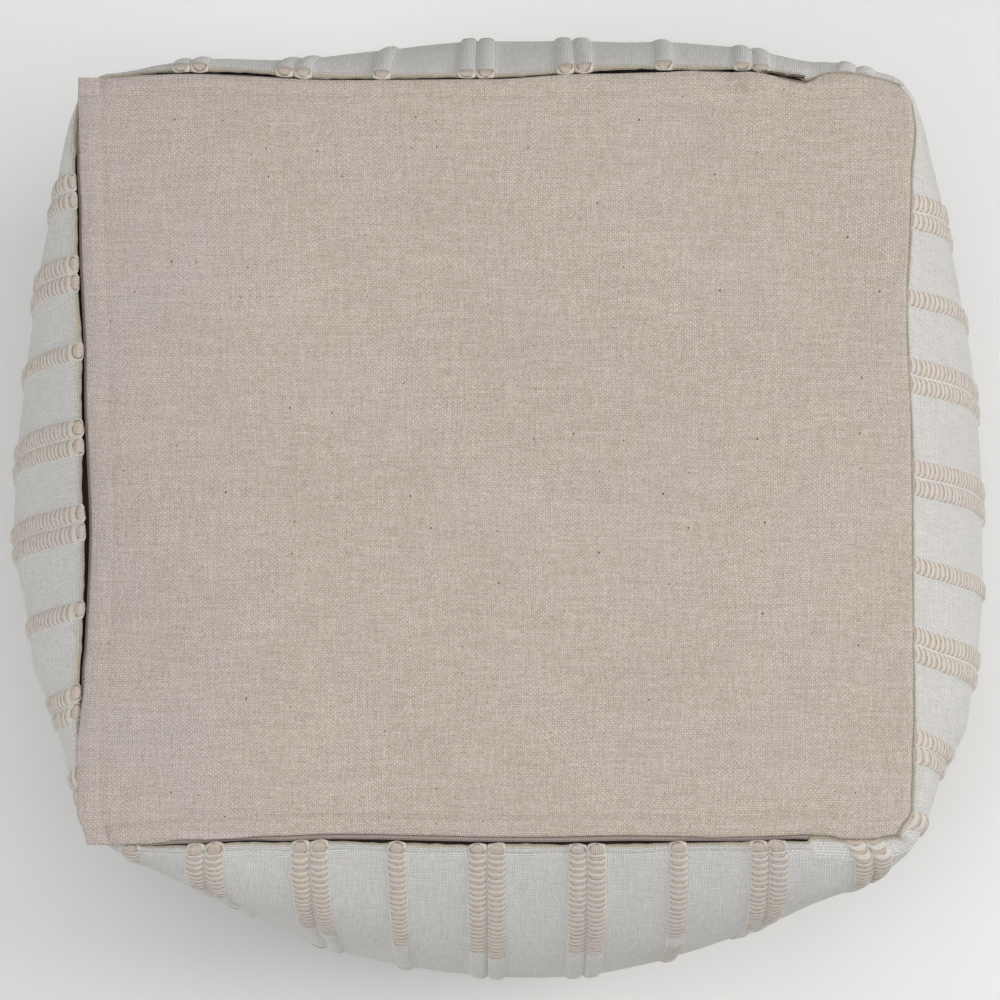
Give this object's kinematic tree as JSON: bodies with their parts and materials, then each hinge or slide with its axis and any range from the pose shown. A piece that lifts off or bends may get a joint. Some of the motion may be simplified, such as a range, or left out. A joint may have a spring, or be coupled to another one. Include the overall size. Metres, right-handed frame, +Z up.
{
  "type": "cube pouf stool",
  "caption": "Filled cube pouf in white woven cloth with raised cord ribs, lying upside down on its seat face with its zipped canvas base panel on top.",
  "frame": {"origin": "centre of the pouf's box, on the floor that its seat face rests on", "axes": "+X to the right as pictured, +Y from the near side to the far side, +Z up, out of the base panel"},
  "size_m": [0.558, 0.536, 0.406],
  "materials": {
    "white_cloth": "coarse woven cotton with raised cord ribs",
    "natural_canvas": "plain woven natural cotton",
    "zip_tape": "fine ribbed tape",
    "dark_metal": "dark satin metal"
  },
  "bodies": {
    "root": {"seat_body": "white_cloth", "side_panel_near": "white_cloth", "side_panel_right": "white_cloth", "side_panel_far": "white_cloth", "side_panel_left": "white_cloth", "base_panel": "natural_canvas", "zip_tape": "zip_tape", "zip_slider": "dark_metal", "zip_pull": "dark_metal"}
  },
  "joints": []
}
